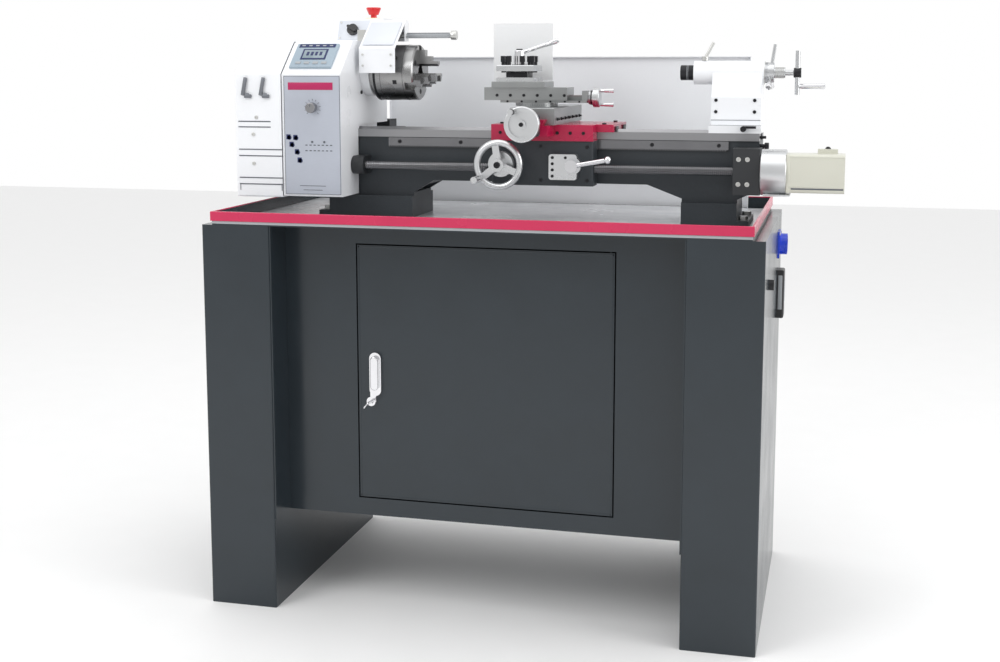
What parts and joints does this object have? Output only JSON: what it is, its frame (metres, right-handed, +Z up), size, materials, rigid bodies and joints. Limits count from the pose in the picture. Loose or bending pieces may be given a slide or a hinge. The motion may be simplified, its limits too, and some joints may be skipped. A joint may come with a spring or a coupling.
{
  "type": "metal lathe",
  "caption": "Bench lathe with chuck, carriage, tool post and tailstock on a cabinet stand with a chip tray and splash guard.",
  "frame": {"origin": "middle of the overall footprint, on the floor", "axes": "+X from the headstock to the tailstock, +Y from the operator to the splash guard, +Z up"},
  "size_m": [1.327, 0.636, 1.31],
  "materials": {
    "stand_paint": "semi-gloss anthracite powder coat",
    "casting_paint": "semi-gloss grey casting paint",
    "trim_red": "gloss magenta red",
    "saddle_red": "gloss crimson",
    "white_paint": "gloss white",
    "panel_aluminium": "brushed",
    "display_plastic": "smooth",
    "black_plastic": "moulded",
    "blue_plastic": "moulded",
    "red_plastic": "moulded",
    "motor_paint": "satin",
    "belt_rubber": "matt",
    "ground_steel": "ground",
    "black_steel": "blackened",
    "machined_iron": "machined",
    "cast_aluminium": "turned",
    "servo_paint": "satin cream",
    "chromed": "polished",
    "zinc": "zinc plated"
  },
  "bodies": {
    "stand": {"left_pedestal": "stand_paint", "right_pedestal": "stand_paint", "cabinet_shell": "stand_paint", "chip_tray": "stand_paint", "tray_trim": "trim_red", "splash_guard": "white_paint", "power_inlet": "blue_plastic", "connector_hood": "black_plastic", "bed": "casting_paint", "rack": "ground_steel", "foot_bolts": "zinc", "cable_conduit": "black_plastic", "headstock": "white_paint", "end_plate": "stand_paint", "headstock_cover": "white_paint", "control_panel": "panel_aluminium", "display_unit": "display_plastic", "switch_box": "white_paint", "guard_shaft": "zinc", "main_motor": "motor_paint", "drive_belt": "belt_rubber", "leadscrew_brackets": "casting_paint", "coupling_housing": "cast_aluminium", "servo_motor": "servo_paint"},
    "door": {"cabinet_door": "stand_paint", "door_lock_plate": "chromed"},
    "door_handle": {"door_handle": "chromed"},
    "door_key": {"door_key": "chromed"},
    "gear_cover": {"gear_cover": "white_paint"},
    "spindle": {"spindle": "ground_steel", "chuck_body": "ground_steel"},
    "motor_pulley": {"motor_pulley": "cast_aluminium"},
    "jaw_1": {"jaw_1": "ground_steel"},
    "jaw_2": {"jaw_2": "ground_steel"},
    "jaw_3": {"jaw_3": "ground_steel"},
    "speed_knob": {"speed_knob": "cast_aluminium"},
    "selector_knob": {"selector_knob": "black_plastic"},
    "estop_button": {"estop_button": "red_plastic"},
    "chuck_guard": {"chuck_guard": "white_paint"},
    "leadscrew": {"leadscrew": "ground_steel"},
    "carriage": {"saddle": "saddle_red", "apron": "casting_paint", "cross_screw_bracket": "casting_paint", "half_nut_housing": "cast_aluminium"},
    "apron_handwheel": {"apron_handwheel": "cast_aluminium"},
    "half_nut_lever": {"half_nut_lever": "chromed"},
    "cross_slide": {"cross_slide": "machined_iron"},
    "cross_handwheel": {"cross_handwheel": "cast_aluminium"},
    "compound": {"compound_base": "machined_iron"},
    "top_slide": {"top_slide": "machined_iron"},
    "top_crank": {"top_crank": "ground_steel"},
    "tool_post": {"tool_post": "ground_steel", "tool_post_screws": "black_steel"},
    "tool_post_lever": {"tool_post_lever": "chromed"},
    "tool_guard": {"tool_guard": "white_paint"},
    "tailstock": {"tailstock_body": "white_paint"},
    "quill": {"quill": "black_steel"},
    "quill_handwheel": {"quill_handwheel": "ground_steel"},
    "quill_lock_lever": {"quill_lock_lever": "zinc"},
    "tailstock_clamp": {"tailstock_clamp": "black_steel"}
  },
  "joints": [
    {"name": "door_swing", "type": "hinge", "parent": "stand", "child": "door", "pos_m": [0.2045, -0.22, 0.518], "axis": [0, 0, 1], "range_deg": [0, 100]},
    {"name": "door_handle_turn", "type": "hinge", "parent": "door", "child": "door_handle", "pos_m": [-0.3035, -0.239, 0.548], "axis": [0, 1, 0], "range_deg": [0, 90]},
    {"name": "door_key_turn", "type": "hinge", "parent": "door", "child": "door_key", "pos_m": [-0.3135, -0.239, 0.456], "axis": [0, 1, 0], "range_deg": [0, 90]},
    {"name": "gear_cover_swing", "type": "hinge", "parent": "stand", "child": "gear_cover", "pos_m": [-0.5255, 0.16, 1.06], "axis": [0, 0, -1], "range_deg": [0, 100]},
    {"name": "spindle_turn", "type": "hinge", "parent": "stand", "child": "spindle", "pos_m": [-0.3635, -0.015, 1.161], "axis": [1, 0, 0], "continuous": true},
    {"name": "motor_turn", "type": "hinge", "parent": "stand", "child": "motor_pulley", "pos_m": [-0.5635, 0.115, 0.985], "axis": [1, 0, 0], "continuous": true},
    {"name": "jaw_1_slide", "type": "slide", "parent": "spindle", "child": "jaw_1", "axis": [0, 0, 1], "range_m": [0, 0.022]},
    {"name": "jaw_2_slide", "type": "slide", "parent": "spindle", "child": "jaw_2", "axis": [0, -0.866, -0.5], "range_m": [0, 0.022]},
    {"name": "jaw_3_slide", "type": "slide", "parent": "spindle", "child": "jaw_3", "axis": [0, 0.866, -0.5], "range_m": [0, 0.022]},
    {"name": "speed_knob_turn", "type": "hinge", "parent": "stand", "child": "speed_knob", "pos_m": [-0.4555, -0.195, 1.086], "axis": [0, 1, 0], "range_deg": [-135, 135]},
    {"name": "selector_turn", "type": "hinge", "parent": "stand", "child": "selector_knob", "pos_m": [-0.4455, 0.04, 1.257], "axis": [0, -0.9377, 0.3473], "range_deg": [-45, 45]},
    {"name": "estop_press", "type": "slide", "parent": "stand", "child": "estop_button", "axis": [0, 0, -1], "range_m": [0, 0.005], "stiffness_N_per_m": 1500},
    {"name": "chuck_guard_lift", "type": "hinge", "parent": "stand", "child": "chuck_guard", "pos_m": [-0.3435, -0.015, 1.243], "axis": [-1, 0, 0], "range_deg": [0, 80]},
    {"name": "leadscrew_turn", "type": "hinge", "parent": "stand", "child": "leadscrew", "pos_m": [0.0365, -0.115, 0.959], "axis": [1, 0, 0], "continuous": true},
    {"name": "carriage_slide", "type": "slide", "parent": "stand", "child": "carriage", "axis": [1, 0, 0], "range_m": [-0.06, 0.1]},
    {"name": "apron_handwheel_turn", "type": "hinge", "parent": "carriage", "child": "apron_handwheel", "pos_m": [-0.0475, -0.165, 0.968], "axis": [0, 1, 0], "continuous": true},
    {"name": "half_nut_lever_turn", "type": "hinge", "parent": "carriage", "child": "half_nut_lever", "pos_m": [0.1085, -0.158, 0.967], "axis": [0, 1, 0], "range_deg": [0, 40]},
    {"name": "cross_slide_feed", "type": "slide", "parent": "carriage", "child": "cross_slide", "axis": [0, 1, 0], "range_m": [-0.025, 0.05]},
    {"name": "cross_handwheel_turn", "type": "hinge", "parent": "carriage", "child": "cross_handwheel", "pos_m": [0.0245, -0.255, 1.057], "axis": [0, 1, 0], "continuous": true},
    {"name": "compound_swivel", "type": "hinge", "parent": "cross_slide", "child": "compound", "pos_m": [0.0015, -0.015, 1.095], "axis": [0, 0, 1], "range_deg": [-30, 30]},
    {"name": "top_slide_feed", "type": "slide", "parent": "compound", "child": "top_slide", "axis": [1, 0, 0], "range_m": [-0.018, 0.018]},
    {"name": "top_crank_turn", "type": "hinge", "parent": "compound", "child": "top_crank", "pos_m": [0.1315, -0.015, 1.107], "axis": [1, 0, 0], "continuous": true},
    {"name": "tool_post_index", "type": "hinge", "parent": "top_slide", "child": "tool_post", "pos_m": [-0.0385, -0.015, 1.16], "axis": [0, 0, 1], "continuous": true},
    {"name": "tool_post_lever_turn", "type": "hinge", "parent": "top_slide", "child": "tool_post_lever", "pos_m": [-0.0385, -0.015, 1.2], "axis": [0, 0, 1], "range_deg": [-60, 50]},
    {"name": "tool_guard_flip", "type": "hinge", "parent": "top_slide", "child": "tool_guard", "pos_m": [-0.0435, 0.057, 1.136], "axis": [-1, 0, 0], "range_deg": [0, 95]},
    {"name": "tailstock_slide", "type": "slide", "parent": "stand", "child": "tailstock", "axis": [1, 0, 0], "range_m": [-0.06, 0]},
    {"name": "quill_feed", "type": "slide", "parent": "tailstock", "child": "quill", "axis": [-1, 0, 0], "range_m": [0, 0.075]},
    {"name": "quill_handwheel_turn", "type": "hinge", "parent": "tailstock", "child": "quill_handwheel", "pos_m": [0.5065, -0.015, 1.161], "axis": [1, 0, 0], "continuous": true},
    {"name": "quill_lock_turn", "type": "hinge", "parent": "tailstock", "child": "quill_lock_lever", "pos_m": [0.3675, -0.015, 1.19], "axis": [0, 0, 1], "range_deg": [-40, 60]},
    {"name": "tailstock_clamp_turn", "type": "hinge", "parent": "tailstock", "child": "tailstock_clamp", "pos_m": [0.4565, -0.093, 1.0455], "axis": [0, 1, 0], "range_deg": [0, 75]}
  ],
  "couplings": [
    {"joint": "motor_turn", "follows": "spindle_turn", "ratio": 1.8},
    {"joint": "jaw_2_slide", "follows": "jaw_1_slide", "ratio": 1},
    {"joint": "jaw_3_slide", "follows": "jaw_1_slide", "ratio": 1},
    {"joint": "apron_handwheel_turn", "follows": "carriage_slide", "rad_per_m": 261.8},
    {"joint": "cross_handwheel_turn", "follows": "cross_slide_feed", "rad_per_m": 3141.6},
    {"joint": "top_crank_turn", "follows": "top_slide_feed", "rad_per_m": 4188.8},
    {"joint": "quill_handwheel_turn", "follows": "quill_feed", "rad_per_m": -3141.6}
  ]
}
